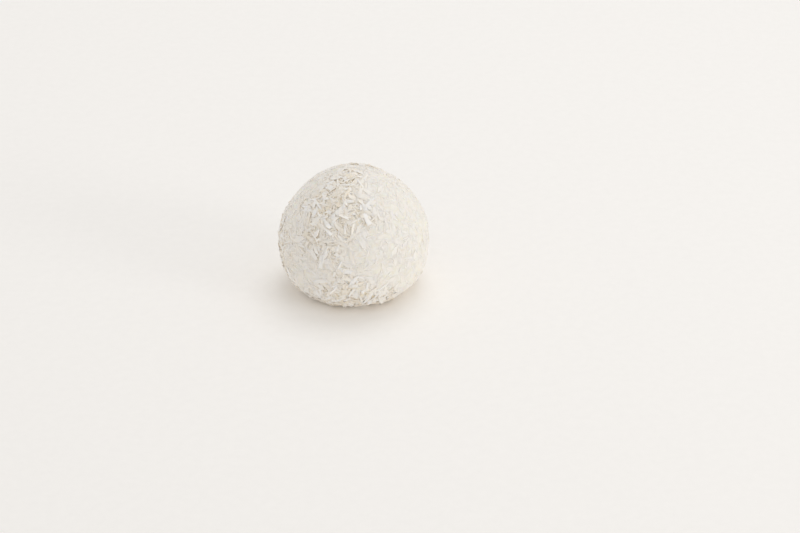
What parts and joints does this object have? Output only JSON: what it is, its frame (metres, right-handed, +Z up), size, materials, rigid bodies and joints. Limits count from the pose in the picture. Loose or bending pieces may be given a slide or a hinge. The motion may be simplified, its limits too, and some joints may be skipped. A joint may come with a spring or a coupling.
{
  "type": "coconut ball",
  "caption": "Soft round confection, a sagged dome on a small flat foot, coated all over in white desiccated coconut shreds and flakes.",
  "frame": {"origin": "middle of the flat foot that the ball rests on, under the middle of its bounding box", "axes": "+Z up through the dome's top, +Y towards the ball's back, +X to the viewer's right"},
  "size_m": [0.0403, 0.0399, 0.0342],
  "materials": {
    "coconut": "matte, slightly moist shreds of white coconut"
  },
  "bodies": {
    "root": {"coconut_ball": "coconut"}
  },
  "joints": []
}
